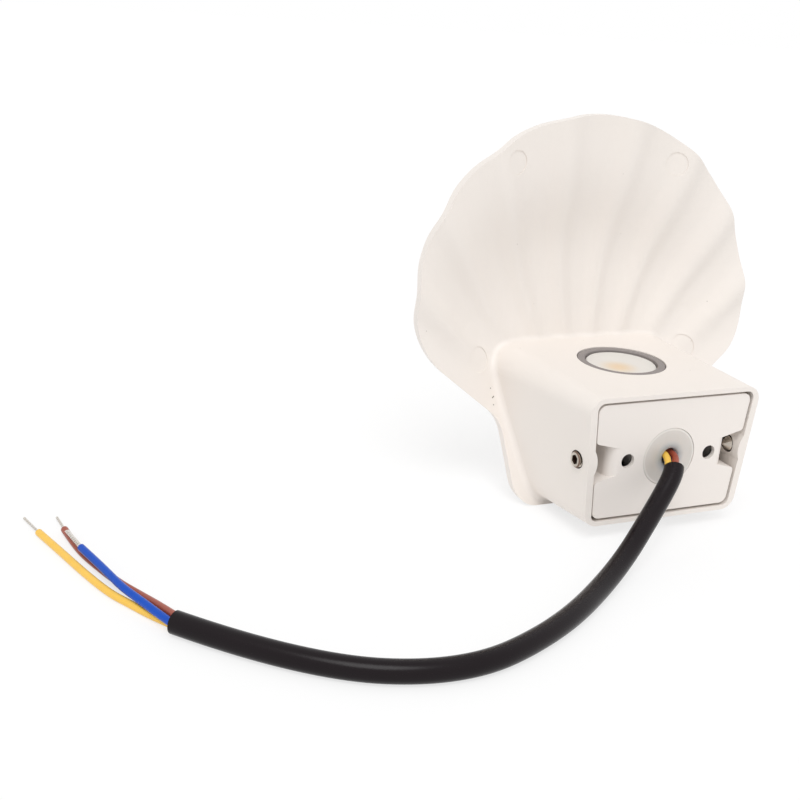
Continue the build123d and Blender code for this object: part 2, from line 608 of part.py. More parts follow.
# Cores between the sheath and the lamp, side by side through the gland
inlet = Vector(0, 0, 0)
run_in = (bend - inlet).normalized()
for name, turn, inner_points in (
    ("brown_tail", BROWN_ANGLE, (BROWN_END, BROWN_TURN)),
    ("blue_tail", BLUE_ANGLE, (BLUE_END, BLUE_TURN)),
    ("yellow_tail", YELLOW_ANGLE, (YELLOW_END, YELLOW_TURN)),
):
    offset = Vector(CORE_SPREAD * math.cos(math.radians(turn)), 0, CORE_SPREAD * math.sin(math.radians(turn)))
    flat = offset - run_in * offset.dot(run_in)
    corner = flat - run_in * (flat.dot(lead_out) / (1 + run_in.dot(lead_out)))
    at_sheath = corner - lead_out * corner.dot(lead_out)
    far, depth = inner_points
    inner_end = Vector(0, depth, 0) + offset
    route = [Vector(*far), inner_end, inlet + offset, bend + corner, sheath_start + at_sheath]
    tail = tube(name, lengthened(route, start=CORE_RADIUS), CORE_RADIUS)
    save(tail - driver - tag, name)

# Cores past the sheath's end, with their bare strands
for name, route in (("brown", BROWN_ROUTE), ("blue", BLUE_ROUTE), ("yellow", YELLOW_ROUTE)):
    core = tube(f"{name}_core", lengthened(route[:-1], start=CORE_RADIUS), CORE_RADIUS) - sheath
    save(core, f"{name}_core")
    strands = tube(f"{name}_strands", lengthened(route[-2:], start=STRAND_RADIUS), STRAND_RADIUS) - core
    save(strands, f"{name}_strands")
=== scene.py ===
"""Looks of an outdoor wall sconce: a die-cast scallop with a lamp box behind it.

The camera looks at it from the wall side. Sizes are in millimetres, angles in degrees
and colours in sRGB, unless a name or a comment says otherwise.
"""

import logging
import math
from dataclasses import KW_ONLY, dataclass
from enum import Enum

import bpy
from mathutils import Matrix, Vector

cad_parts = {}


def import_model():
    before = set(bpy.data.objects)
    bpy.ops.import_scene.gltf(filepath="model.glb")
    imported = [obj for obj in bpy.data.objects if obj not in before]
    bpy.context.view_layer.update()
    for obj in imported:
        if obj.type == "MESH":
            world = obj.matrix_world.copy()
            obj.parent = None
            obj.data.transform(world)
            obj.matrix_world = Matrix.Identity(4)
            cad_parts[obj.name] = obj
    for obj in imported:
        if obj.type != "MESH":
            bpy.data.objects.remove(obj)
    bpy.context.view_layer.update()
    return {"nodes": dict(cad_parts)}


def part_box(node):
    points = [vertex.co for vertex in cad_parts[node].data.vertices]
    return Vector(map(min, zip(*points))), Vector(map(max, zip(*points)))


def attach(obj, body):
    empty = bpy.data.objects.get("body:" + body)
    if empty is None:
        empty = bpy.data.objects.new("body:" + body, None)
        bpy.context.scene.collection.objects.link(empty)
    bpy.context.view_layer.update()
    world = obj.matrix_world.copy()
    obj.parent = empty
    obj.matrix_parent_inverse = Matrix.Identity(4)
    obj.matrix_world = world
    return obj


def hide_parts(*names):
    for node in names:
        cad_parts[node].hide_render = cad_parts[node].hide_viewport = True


MM = 0.001
WELD = 1e-6
WHITE = (1.0, 1.0, 1.0, 1.0)
LOG = logging.getLogger("wall_sconce")

Point = tuple[float, float, float]
Corners = list[tuple[float, float]]
Piece = bpy.types.Object
Material = bpy.types.Material
Tree = bpy.types.NodeTree
Socket = bpy.types.NodeSocket


class Body(Enum):
    """The bodies of the lamp that a piece can ride on."""

    LAMP = "lamp"
    LEFT_SCREW = "left_screw"
    RIGHT_SCREW = "right_screw"


class Lay(Enum):
    """Direction of the fine lines that a tool leaves on metal, as a stretch of the pattern."""

    ALONG_X = (0.06, 1.0, 1.0)
    ALONG_Y = (1.0, 0.06, 1.0)
    NONE = (1.0, 1.0, 1.0)


class Axis(Enum):
    """An axis of the lamp, as what is left of a point once its place along that axis is dropped."""

    ACROSS = (0.0, 1.0, 1.0)
    DEPTH = (1.0, 0.0, 1.0)
    UPRIGHT = (1.0, 1.0, 0.0)


def linear(colour: str) -> tuple[float, float, float, float]:
    """Turn an sRGB hex colour into linear light.

    Args:
        colour: six hex digits after a hash.

    Returns:
        Red, green, blue and an alpha of 1.
    """
    parts = [int(colour[i : i + 2], 16) / 255 for i in (1, 3, 5)]
    light = [c / 12.92 if c <= 0.04045 else ((c + 0.055) / 1.055) ** 2.4 for c in parts]
    return (*light, 1.0)


def per_metre(size_mm: float) -> float:
    """Pattern scale whose features are about this many millimetres across."""
    return 1.0 / (size_mm * MM)


def metres(point: Point) -> Vector:
    """A point in millimetres as a vector in metres."""
    return Vector(point) * MM


def add_node(
    tree: Tree, kind: str, inputs: dict | None = None, **settings: object
) -> bpy.types.Node:
    """Add one shader node with its settings and links.

    Args:
        tree: the material's or the world's node tree.
        kind: node type without its ShaderNode prefix.
        inputs: a value or another node's output for each named input.
        settings: properties of the node itself.

    Returns:
        The new node.
    """
    node = tree.nodes.new("ShaderNode" + kind)
    for key, value in settings.items():
        setattr(node, key, value)
    for name, value in (inputs or {}).items():
        if isinstance(value, Socket):
            tree.links.new(value, node.inputs[name])
        else:
            node.inputs[name].default_value = value
    return node


def blank_material(name: str) -> Material:
    """Start a node material with nothing in it yet.

    Args:
        name: the material's name.

    Returns:
        The empty material.
    """
    material = bpy.data.materials.new(name)
    material.use_nodes = True
    material.node_tree.nodes.clear()
    return material


def dress_piece(piece: Piece, material: Material) -> None:
    """Give a piece one material all over."""
    piece.data.materials.clear()
    piece.data.materials.append(material)


def stand_in(piece: Piece, body: Body, node: str) -> None:
    """Let a piece ride on a body in place of a solid.

    Args:
        piece: the piece.
        body: what it rides on.
        node: the solid that it stands for.
    """
    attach(piece, body.value)
    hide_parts(node)


def off_axis(tree: Tree, place: Socket, centre: Point, axis: Axis) -> Socket:
    """Measure how far each point of a surface lies from an axis.

    Args:
        tree: the material's node tree.
        place: the surface's coordinates.
        centre: a point of the axis in millimetres.
        axis: the axis's direction.

    Returns:
        The distance in metres.
    """
    moved = add_node(tree, "VectorMath", {0: place, 1: metres(centre)}, operation="SUBTRACT")
    level = add_node(tree, "VectorMath", {0: moved.outputs[0], 1: axis.value}, operation="MULTIPLY")
    away = add_node(tree, "VectorMath", {0: level.outputs[0]}, operation="LENGTH")
    return away.outputs["Value"]


def clouded(
    tree: Tree, place: Socket, colours: tuple[str, str], size_mm: float, detail: float = 2.0
) -> Socket:
    """Let one colour drift into another in soft clouds.

    Args:
        tree: the material's node tree.
        place: the surface's coordinates.
        colours: the two colours.
        size_mm: how far across a cloud is.
        detail: how many finer clouds lie in it.

    Returns:
        The mixed colour.
    """
    cloud = add_node(
        tree, "TexNoise", {"Vector": place, "Scale": per_metre(size_mm), "Detail": detail}
    )
    tone = add_node(
        tree,
        "Mix",
        {"Factor": cloud.outputs["Fac"], 6: linear(colours[0]), 7: linear(colours[1])},
        data_type="RGBA",
    )
    return tone.outputs[2]


@dataclass(frozen=True)
class Finish:
    """What every finish has: a name, a gloss, and a fine relief that breaks the gloss up."""

    name: str
    _: KW_ONLY
    roughness: float = 0.4
    gloss_spread: float = 0.08
    relief_mm: float = 0.5
    relief_depth_mm: float = 0.01
    relief_strength: float = 0.5
    relief_detail: float = 2.0
    lines: Lay = Lay.NONE

    def paint(self, tree: Tree, place: Socket) -> dict[str, object]:
        """The shader's inputs apart from gloss and relief: each finish has its own."""
        raise NotImplementedError

    def make(self) -> Material:
        """Build the finish's nodes.

        Returns:
            The finished material.
        """
        material = blank_material(self.name)
        tree = material.node_tree
        place = add_node(tree, "TexCoord").outputs["Object"]
        drawn = add_node(tree, "Mapping", {"Vector": place, "Scale": self.lines.value})
        relief = add_node(
            tree,
            "TexNoise",
            {
                "Vector": drawn.outputs["Vector"],
                "Scale": per_metre(self.relief_mm),
                "Detail": self.relief_detail,
            },
        ).outputs["Fac"]
        gloss = add_node(
            tree,
            "MapRange",
            {
                "Value": relief,
                "To Min": self.roughness - self.gloss_spread,
                "To Max": self.roughness + self.gloss_spread,
            },
        )
        bump = add_node(
            tree,
            "Bump",
            {
                "Height": relief,
                "Distance": self.relief_depth_mm * MM,
                "Strength": self.relief_strength,
            },
        )
        inputs = {
            **self.paint(tree, place),
            "Roughness": gloss.outputs[0],
            "Normal": bump.outputs["Normal"],
        }
        surface = add_node(tree, "BsdfPrincipled", inputs)
        add_node(tree, "OutputMaterial", {"Surface": surface.outputs[0]})
        return material


@dataclass(frozen=True)
class PowderCoat(Finish):
    """Satin powder coat on a die casting that was drilled after painting.

    The eye sees a warm white with soft orange peel, faint clouds and a few grey specks,
    and dark bare metal in the holes.
    """

    colour: str
    cloud: str
    _: KW_ONLY
    bores: tuple[Point, ...]
    bore_axis: Axis = Axis.DEPTH
    bore_radius: float = 2.8
    # Colour of the holes behind the coat: bare metal, and on the plate a darker one that is painted
    # shade for the depth of its holes.
    raw_metal_and_shade: str = "#4A443F"
    speck: str = "#9A9088"
    speck_mm: float = 9.0
    # Where a speck is full and where it ends, as shares of its cell.
    speck_core: float = 0.012
    speck_edge: float = 0.024
    speck_strength: float = 0.75
    cloud_mm: float = 22.0
    roughness: float = 0.46
    gloss_spread: float = 0.06
    relief_mm: float = 1.6
    relief_depth_mm: float = 0.02
    relief_detail: float = 1.0
    ior: float = 1.5

    def bare(self, tree: Tree, place: Socket) -> Socket:
        """Mark the drilled holes.

        Args:
            tree: the coat's node tree.
            place: the surface's coordinates.

        Returns:
            1 inside the holes and 0 elsewhere.
        """
        away = off_axis(tree, place, self.bores[0], self.bore_axis)
        for bore in self.bores[1:]:
            other = off_axis(tree, place, bore, self.bore_axis)
            away = add_node(tree, "Math", {0: away, 1: other}, operation="MINIMUM").outputs[0]
        reach = self.bore_radius * MM
        return add_node(tree, "Math", {0: away, 1: reach}, operation="LESS_THAN").outputs[0]

    def tint(self, tree: Tree, place: Socket, bare: Socket) -> Socket:
        """Lay the clouded white, its specks and the bare holes.

        Args:
            tree: the coat's node tree.
            place: the surface's coordinates.
            bare: the share of bare metal.

        Returns:
            The coat's colour.
        """
        cell = add_node(tree, "TexVoronoi", {"Vector": place, "Scale": per_metre(self.speck_mm)})
        dot = add_node(
            tree,
            "MapRange",
            {
                "Value": cell.outputs["Distance"],
                "From Min": self.speck_core,
                "From Max": self.speck_edge,
                "To Min": self.speck_strength,
                "To Max": 0.0,
            },
        )
        tone = clouded(tree, place, (self.colour, self.cloud), self.cloud_mm)
        for share, colour in ((dot.outputs[0], self.speck), (bare, self.raw_metal_and_shade)):
            mixed = {"Factor": share, 6: tone, 7: linear(colour)}
            tone = add_node(tree, "Mix", mixed, data_type="RGBA").outputs[2]
        return tone

    def paint(self, tree: Tree, place: Socket) -> dict[str, object]:
        """The coat's colour, and what of it is bare metal."""
        bare = self.bare(tree, place)
        return {"Base Color": self.tint(tree, place, bare), "Metallic": bare, "IOR": self.ior}


@dataclass(frozen=True)
class PlateCoat(PowderCoat):
    """The plate's coat, which reaches a little way into the screw holes; behind it the bare metal
    is painted near black as painted shade for the depth of the holes.
    """

    _: KW_ONLY
    painted_depth: float = 1.4

    def bare(self, tree: Tree, place: Socket) -> Socket:
        """Mark the holes behind the paint, where the near black painted shade goes.

        Args:
            tree: the coat's node tree.
            place: the surface's coordinates.

        Returns:
            1 inside the holes behind the paint and 0 elsewhere.
        """
        drilled = super().bare(tree, place)
        depth = add_node(tree, "SeparateXYZ", {"Vector": place}).outputs["Y"]
        limit = -self.painted_depth * MM
        behind = add_node(tree, "Math", {0: depth, 1: limit}, operation="LESS_THAN")
        both = add_node(tree, "Math", {0: drilled, 1: behind.outputs[0]}, operation="MULTIPLY")
        return both.outputs[0]


@dataclass(frozen=True)
class CastingCoat(PowderCoat):
    """The casting's coat, with crumbs of dirt caught in the corner between box and scallop."""

    _: KW_ONLY
    dirt: str = "#4A423C"
    dirt_mm: float = 1.15
    dirt_centre: Point = (36.2, -46.0, 5.8)
    dirt_reach: Point = (0.75, 3.4, 5.2)
    # Where the dirt starts to thin out, as a share of its reach, and a crumb's shares of its cell.
    dirt_fade: float = 0.7
    crumb_core: float = 0.16
    crumb_edge: float = 0.24
    crumb_strength: float = 0.95

    def tint(self, tree: Tree, place: Socket, bare: Socket) -> Socket:
        """Add the dirt to the drilled coat.

        Args:
            tree: the coat's node tree.
            place: the surface's coordinates.
            bare: the share of bare metal.

        Returns:
            The casting's colour.
        """
        drilled = super().tint(tree, place, bare)
        centre, reach = metres(self.dirt_centre), metres(self.dirt_reach)
        moved = add_node(tree, "VectorMath", {0: place, 1: centre}, operation="SUBTRACT")
        shrunk = add_node(tree, "VectorMath", {0: moved.outputs[0], 1: reach}, operation="DIVIDE")
        away = add_node(tree, "VectorMath", {0: shrunk.outputs[0]}, operation="LENGTH")
        crumb = add_node(tree, "TexVoronoi", {"Vector": place, "Scale": per_metre(self.dirt_mm)})
        shares = []
        for value, full, none, strength in (
            (away.outputs["Value"], self.dirt_fade, 1.0, 1.0),
            (crumb.outputs["Distance"], self.crumb_core, self.crumb_edge, self.crumb_strength),
        ):
            share = add_node(
                tree,
                "MapRange",
                {
                    "Value": value,
                    "From Min": full,
                    "From Max": none,
                    "To Min": strength,
                    "To Max": 0.0,
                },
            )
            shares.append(share.outputs[0])
        both = add_node(tree, "Math", {0: shares[0], 1: shares[1]}, operation="MULTIPLY")
        dirty = add_node(
            tree,
            "Mix",
            {"Factor": both.outputs[0], 6: drilled, 7: linear(self.dirt)},
            data_type="RGBA",
        )
        return dirty.outputs[2]


@dataclass(frozen=True)
class Moulded(Finish):
    """Moulded or extruded plastic, rubber or ceramic: even, with a slight cloud and a fine skin.

    The real skin is finer, and is drawn as coarse as it needs to show.
    """

    colour: str
    cloud: str
    _: KW_ONLY
    gloss_spread: float = 0.07
    relief_depth_mm: float = 0.008
    cloud_mm: float = 6.0
    ior: float = 1.48
    shine: float = 0.5

    def paint(self, tree: Tree, place: Socket) -> dict[str, object]:
        """The clouded colour under its skin."""
        tone = clouded(tree, place, (self.colour, self.cloud), self.cloud_mm)
        return {"Base Color": tone, "IOR": self.ior, "Specular IOR Level": self.shine}


@dataclass(frozen=True)
class MilkySilicone(Finish):
    """Translucent moulded silicone.

    The eye sees it pale and soft. A cooler grey in the dip is painted shade of the dip and of the
    dark inside behind the thin silicone, and a lighter edge is a painted highlight on the rounded
    rim.
    """

    colour: str
    cloud: str
    _: KW_ONLY
    # Colours of the painted shade in the dip and of the painted highlight on the edge.
    dip_shade: str
    edge: str
    dip_shade_radius: float
    full_radius: float
    edge_radius: float
    edge_width: float = 0.3
    roughness: float = 0.34
    relief_mm: float = 3.0
    relief_depth_mm: float = 0.02
    relief_strength: float = 0.4
    cloud_mm: float = 3.0
    ior: float = 1.41
    scatter: float = 0.4
    scatter_mm: float = 1.0
    scatter_colour: Point = (1.0, 0.85, 0.75)

    def paint(self, tree: Tree, place: Socket) -> dict[str, object]:
        """Paint shade into the silicone's dip and a highlight on its edge.

        Args:
            tree: the silicone's node tree.
            place: the surface's coordinates.

        Returns:
            The colour, and how the light spreads in it.
        """
        away = off_axis(tree, place, (0.0, 0.0, 0.0), Axis.DEPTH)
        tone = clouded(tree, place, (self.colour, self.cloud), self.cloud_mm)
        for colour, full, none in (
            (self.dip_shade, self.dip_shade_radius, self.full_radius),
            (self.edge, self.edge_radius, self.edge_radius - self.edge_width),
        ):
            inwards = full < none
            share = add_node(
                tree,
                "MapRange",
                {
                    "Value": away,
                    "From Min": min(full, none) * MM,
                    "From Max": max(full, none) * MM,
                    "To Min": 1.0 if inwards else 0.0,
                    "To Max": 0.0 if inwards else 1.0,
                },
                interpolation_type="SMOOTHSTEP",
            )
            mixed = {"Factor": share.outputs[0], 6: tone, 7: linear(colour)}
            tone = add_node(tree, "Mix", mixed, data_type="RGBA").outputs[2]
        return {
            "Base Color": tone,
            "IOR": self.ior,
            "Subsurface Weight": self.scatter,
            "Subsurface Scale": self.scatter_mm * MM,
            "Subsurface Radius": self.scatter_colour,
        }


@dataclass(frozen=True)
class Metal(Finish):
    """Bare or plated metal: bright, with fine tool lines in one direction and a slight tarnish.

    The real lines are finer, and are drawn as coarse as they need to show.
    """

    colour: str
    tarnish: str
    _: KW_ONLY
    roughness: float = 0.3
    relief_mm: float = 0.18
    relief_depth_mm: float = 0.006
    tarnish_mm: float = 2.5
    tarnish_detail: float = 3.0

    def paint(self, tree: Tree, place: Socket) -> dict[str, object]:
        """Let the tarnish cloud the metal.

        Args:
            tree: the metal's node tree.
            place: the surface's coordinates.

        Returns:
            The colour of bare metal.
        """
        colours = (self.colour, self.tarnish)
        tone = clouded(tree, place, colours, self.tarnish_mm, self.tarnish_detail)
        return {"Base Color": tone, "Metallic": 1.0}


@dataclass(frozen=True)
class FrostedGlass(Finish):
    """Etched glass: white, with a painted view of the phosphor below it as a soft warm patch.

    The real etching is finer, and is drawn as coarse as it needs to show.
    """

    colour: str
    # Colour of the painted view of the phosphor through the glass.
    warm: str
    centre: Point
    _: KW_ONLY
    phosphor_view_radius: float = 0.5
    plain_radius: float = 7.5
    roughness: float = 0.5
    gloss_spread: float = 0.1
    relief_mm: float = 0.25
    relief_depth_mm: float = 0.004
    relief_strength: float = 0.4
    ior: float = 1.5
    clear: float = 0.2

    def paint(self, tree: Tree, place: Socket) -> dict[str, object]:
        """Lay the warm patch, a painted view of the phosphor through the glass, into the white.

        Args:
            tree: the glass's node tree.
            place: the surface's coordinates.

        Returns:
            The colour, and how much light comes through.
        """
        glow = add_node(
            tree,
            "MapRange",
            {
                "Value": off_axis(tree, place, self.centre, Axis.UPRIGHT),
                "From Min": self.phosphor_view_radius * MM,
                "From Max": self.plain_radius * MM,
                "To Min": 1.0,
                "To Max": 0.0,
            },
            interpolation_type="SMOOTHSTEP",
        )
        tone = add_node(
            tree,
            "Mix",
            {"Factor": glow.outputs[0], 6: linear(self.colour), 7: linear(self.warm)},
            data_type="RGBA",
        )
        return {
            "Base Color": tone.outputs[2],
            "IOR": self.ior,
            "Transmission Weight": self.clear,
        }


def select_only(piece: Piece) -> None:
    """Make a piece the only one selected, and the active one.

    Args:
        piece: the piece to select.
    """
    bpy.ops.object.select_all(action="DESELECT")
    piece.select_set(True)
    bpy.context.view_layer.objects.active = piece


def draw_outline(name: str, corners: Corners) -> Piece:
    """Draw a closed outline corner by corner, ready to be turned round the depth axis.

    Args:
        name: the piece's name.
        corners: radius and depth of each corner in millimetres, in order.

    Returns:
        The outline, in edit mode with all of it selected.
    """
    bpy.ops.object.select_all(action="DESELECT")
    bpy.ops.mesh.primitive_plane_add(size=MM)
    outline = bpy.context.object
    outline.name = name
    bpy.ops.object.mode_set(mode="EDIT")
    bpy.ops.mesh.select_all(action="SELECT")
    bpy.ops.mesh.merge(type="CENTER")
    places = [Vector((radius * MM, depth * MM, 0.0)) for radius, depth in corners]
    bpy.ops.transform.translate(value=places[0])
    for before, after in zip(places, places[1:] + places[:1]):
        bpy.ops.mesh.extrude_vertices_move(TRANSFORM_OT_translate={"value": after - before})
    bpy.ops.mesh.select_all(action="SELECT")
    bpy.ops.mesh.remove_doubles(threshold=WELD)
    bpy.ops.mesh.select_all(action="SELECT")
    return outline


def lathe(name: str, profile: Corners, steps: int = 96, crease: float = 40.0) -> Piece:
    """Turn a closed profile round the depth axis through the origin.

    Args:
        name: the piece's name.
        profile: radius and depth of each corner in millimetres, in order.
        steps: facets round the turn.
        crease: angle in degrees from which an edge stays sharp.

    Returns:
        The turned piece.
    """
    piece = draw_outline(name, profile)
    bpy.ops.mesh.spin(steps=steps, angle=2 * math.pi, center=(0, 0, 0), axis=(0, 1, 0))
    bpy.ops.mesh.select_all(action="SELECT")
    bpy.ops.mesh.remove_doubles(threshold=WELD)
    bpy.ops.mesh.normals_make_consistent(inside=False)
    bpy.ops.object.mode_set(mode="OBJECT")
    bpy.ops.object.shade_smooth_by_angle(angle=math.radians(crease))
    return piece


@dataclass
class Casting:
    """The scallop and the lamp box behind it, cast in one and powder coated."""

    coat: CastingCoat = CastingCoat(
        "white_powder_coat",
        "#F0E9E3",
        "#EDE6DF",
        bores=((0.0, -5.0, 0.0),),
        bore_axis=Axis.ACROSS,
    )

    def dress(self, nodes: dict[str, Piece]) -> list[Piece]:
        """Coat the casting, and give it back."""
        dress_piece(nodes["shell_body"], self.coat.make())
        return [nodes["shell_body"]]


@dataclass
class WallPlate:
    """The plate that screws to the wall, and the soft gland in its middle."""

    gland_radius: float = 9.18
    gland_flange: float = 4.0
    gland_neck: float = 5.5
    gland_lip: float = 7.0
    gland_end: float = -10.2
    plate_front: float = -8.0
    bore: float = 2.55
    mouth: float = 2.8
    dip_depth: float = 1.0
    dip_radius: float = 4.4
    dip_drop: float = 0.3
    # How far out and how deep, as shares of the dip's width and of its depth.
    dip_curve: tuple[tuple[float, float], ...] = (
        (0.1, 0.86),
        (0.35, 0.55),
        (0.7, 0.24),
        (1.1, 0.06),
        (1.5, 0.0),
    )
    rim_round: float = 0.45
    rim_cut: float = 0.12
    flare: float = 0.7
    flare_length: float = 4.5
    pulled: Point = (-1.1, 0.0, -0.55)
    pulled_reach: float = 6.0
    mouth_slack: float = 0.05
    coat: PlateCoat = PlateCoat(
        "white_plate_coat",
        "#F2EBE5",
        "#EDE6E0",
        roughness=0.5,
        bores=((-14.75, 0.0, 0.0), (14.75, 0.0, 0.0)),
        bore_radius=2.4,
        # Bare metal darkened to near black: painted shade deep in the screw holes.
        raw_metal_and_shade="#2E2926",
    )
    silicone: MilkySilicone = MilkySilicone(
        "milky_silicone",
        "#DAD4CE",
        "#D3CDC6",
        # Painted shade in the dip and a painted highlight on the edge.
        dip_shade="#BFC5C7",
        edge="#E4DFD9",
        dip_shade_radius=3.0,
        full_radius=5.6,
        edge_radius=8.6,
    )

    def pull_mouth(self, gland: Piece) -> None:
        """Draw the gland's mouth to the side that the cord pulls it to.

        Args:
            gland: the turned gland.
        """
        bpy.ops.object.mode_set(mode="EDIT")
        bpy.ops.mesh.select_all(action="DESELECT")
        bpy.ops.object.mode_set(mode="OBJECT")
        reach = (self.mouth + self.mouth_slack) * MM
        for corner in gland.data.vertices:
            mouth = math.hypot(corner.co.x, corner.co.z) < reach
            corner.select = mouth and corner.co.y > -2 * self.dip_depth * MM
        bpy.ops.object.mode_set(mode="EDIT")
        bpy.ops.transform.translate(
            value=metres(self.pulled),
            use_proportional_edit=True,
            proportional_edit_falloff="SMOOTH",
            proportional_size=self.pulled_reach * MM,
        )
        bpy.ops.object.mode_set(mode="OBJECT")

    def build(self) -> Piece:
        """Turn the gland with its soft round dip, and pull its mouth aside.

        Returns:
            The gland.
        """
        reach = self.dip_radius - self.mouth
        dip = [(self.mouth, -self.dip_depth - self.dip_drop)]
        for out, down in self.dip_curve:
            dip.append((self.mouth + out * reach, -down * self.dip_depth))
        rim = [
            (self.gland_radius - self.rim_round, 0.0),
            (self.gland_radius - self.rim_cut, -self.rim_cut),
            (self.gland_radius, -self.rim_round),
        ]
        back = [
            (self.gland_radius, -self.gland_flange),
            (self.gland_neck, -self.gland_flange),
            (self.gland_neck, self.plate_front),
            (self.gland_lip, self.plate_front),
            (self.gland_lip, self.gland_end),
            (self.bore + self.flare, self.gland_end),
            (self.bore, self.gland_end + self.flare_length),
        ]
        gland = lathe("gland_soft", dip + rim + back)
        self.pull_mouth(gland)
        return gland

    def dress(self, nodes: dict[str, Piece], gland: Piece) -> list[Piece]:
        """Coat the plate, and colour and place the gland.

        Args:
            nodes: the solids' objects.
            gland: the turned gland.

        Returns:
            The plate and the gland.
        """
        dress_piece(nodes["mounting_plate"], self.coat.make())
        dress_piece(gland, self.silicone.make())
        stand_in(gland, Body.LAMP, "cable_gland")
        return [nodes["mounting_plate"], gland]


@dataclass
class SetScrews:
    """The two pointed hexagon-socket screws that hold the box on the plate."""

    crest: float = 2.48
    root: float = 2.08
    pitch: float = 0.8
    length: float = 6.3
    point: float = 2.2
    # Radius of each corner, and its distance from the end.
    tip: tuple[tuple[float, float], ...] = ((0.35, 0.2), (0.21, 0.05))
    collar: float = 0.5
    runout: float = 0.3
    shoulder: float = 0.1
    chamfer: float = 0.35
    flats: float = 2.7
    socket: float = 2.0
    facets: int = 64
    turns: int = 3
    turn_steps: int = 48
    thread_start: float = 0.45
    ridge_sink: float = 0.1
    # Half the ridge's width as a share of the pitch.
    ridge_half: float = 0.42
    # A factor with which faces on the socket's own walls count as inside it.
    socket_slack: float = 1.02
    crease: float = 35.0
    steel: Metal = Metal(
        "turned_stainless_steel", "#DDD4C9", "#92897E", roughness=0.13, relief_mm=0.25
    )
    # The socket and the chamfer: a film of oil, darkened further as painted shade.
    oily_and_shaded: Metal = Metal(
        "oily_shaded_steel_socket", "#8A7468", "#6E5A4E", roughness=0.45, relief_mm=0.3
    )

    def turn_blank(self, name: str) -> Piece:
        """Turn the screw without its thread, its socket end at the origin and its point along -Y.

        Args:
            name: the screw's name.

        Returns:
            The blank.
        """
        neck = -self.length + self.point
        tip = [(radius, -self.length + height) for radius, height in self.tip]
        profile = [
            (0.0, 0.0),
            (self.crest - self.chamfer, 0.0),
            (self.crest, -self.chamfer),
            (self.crest, -self.collar),
            (self.root, -self.collar - self.runout),
            (self.root, neck + self.shoulder),
            (self.crest - self.shoulder, neck),
            *tip,
            (0.0, -self.length),
        ]
        return lathe(name, profile, self.facets)

    def sink_socket(self, screw: Piece) -> None:
        """Cut the hexagon socket into the end of a blank.

        Args:
            screw: the blank.
        """
        bpy.ops.object.select_all(action="DESELECT")
        bpy.ops.mesh.primitive_cylinder_add(
            vertices=6,
            radius=self.flats / math.sqrt(3) * MM,
            depth=2 * self.socket * MM,
            rotation=(math.pi / 2, 0.0, 0.0),
        )
        key = bpy.context.object
        select_only(screw)
        cut = screw.modifiers.new("socket", "BOOLEAN")
        cut.operation = "DIFFERENCE"
        cut.object = key
        bpy.ops.object.modifier_apply(modifier=cut.name)
        bpy.data.objects.remove(key)

    def wind_thread(self, name: str) -> Piece:
        """Wind a right-hand ridge round the shank.

        Args:
            name: the ridge's name.

        Returns:
            The ridge.
        """
        start = -self.collar - self.thread_start
        half = self.pitch * self.ridge_half
        foot = self.root - self.ridge_sink
        corners = [(foot, start + half), (self.crest, start), (foot, start - half)]
        ridge = draw_outline(name, corners)
        bpy.ops.object.mode_set(mode="OBJECT")
        winding = ridge.modifiers.new("winding", "SCREW")
        winding.axis = "Y"
        winding.screw_offset = -self.pitch * MM
        winding.iterations = self.turns
        winding.steps = self.turn_steps
        winding.render_steps = self.turn_steps
        bpy.ops.object.modifier_apply(modifier=winding.name)
        bpy.ops.object.mode_set(mode="EDIT")
        bpy.ops.mesh.select_all(action="SELECT")
        bpy.ops.mesh.fill_holes(sides=4)
        bpy.ops.mesh.normals_make_consistent(inside=False)
        bpy.ops.object.mode_set(mode="OBJECT")
        return ridge

    def build(self, node: str, side: int) -> Piece:
        """Make one screw with its point where its solid's is.

        Args:
            node: the solid's name.
            side: 1 for the screw on the left, -1 for the one on the right.

        Returns:
            The threaded screw.
        """
        low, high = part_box(node)
        middle = (low + high) / 2
        screw = self.turn_blank(f"{node}_threaded")
        self.sink_socket(screw)
        ridge = self.wind_thread(f"{node}_ridge")
        select_only(screw)
        ridge.select_set(True)
        bpy.ops.object.join()
        tip = low.x if side > 0 else high.x
        end = Vector((tip + side * self.length * MM, middle.y, middle.z))
        turn = Matrix.Rotation(math.radians(-90 * side), 4, "Z")
        screw.matrix_world = Matrix.Translation(end) @ turn
        bpy.ops.object.transform_apply(location=True, rotation=True, scale=True)
        bpy.ops.object.shade_smooth_by_angle(angle=math.radians(self.crease))
        return screw

    def shade_and_oil_faces(self, screw: Piece, side: int) -> None:
        """Give the faces of a screw's socket and of its chamfer their oily steel, darkened as
        painted shade.

        Args:
            screw: the threaded screw, in place.
            side: 1 for the screw on the left, -1 for the one on the right.
        """
        low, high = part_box("left_set_screw")
        axis = (low + high) / 2
        hole = self.flats / math.sqrt(3) * MM * self.socket_slack
        rim = (self.crest - self.chamfer) * MM
        end = max(side * corner[0] for corner in screw.bound_box)
        for face in screw.data.polygons:
            away = math.hypot(face.center.y - axis.y, face.center.z - axis.z)
            depth = end - side * face.center.x
            in_socket = away < hole and depth < self.socket * MM * self.socket_slack
            # Socket and chamfer faces take the oily steel in painted shade.
            if in_socket or (away > rim and depth < self.chamfer * MM):
                face.material_index = 1

    def dress(self) -> list[Piece]:
        """Build both screws in steel and hang each on its own body.

        Returns:
            The two screws.
        """
        steel = self.steel.make()
        oily_and_shaded = self.oily_and_shaded.make()
        screws = []
        for node, side, body in (
            ("left_set_screw", 1, Body.LEFT_SCREW),
            ("right_set_screw", -1, Body.RIGHT_SCREW),
        ):
            screw = self.build(node, side)
            dress_piece(screw, steel)
            screw.data.materials.append(oily_and_shaded)
            self.shade_and_oil_faces(screw, side)
            stand_in(screw, body, node)
            screws.append(screw)
        return screws


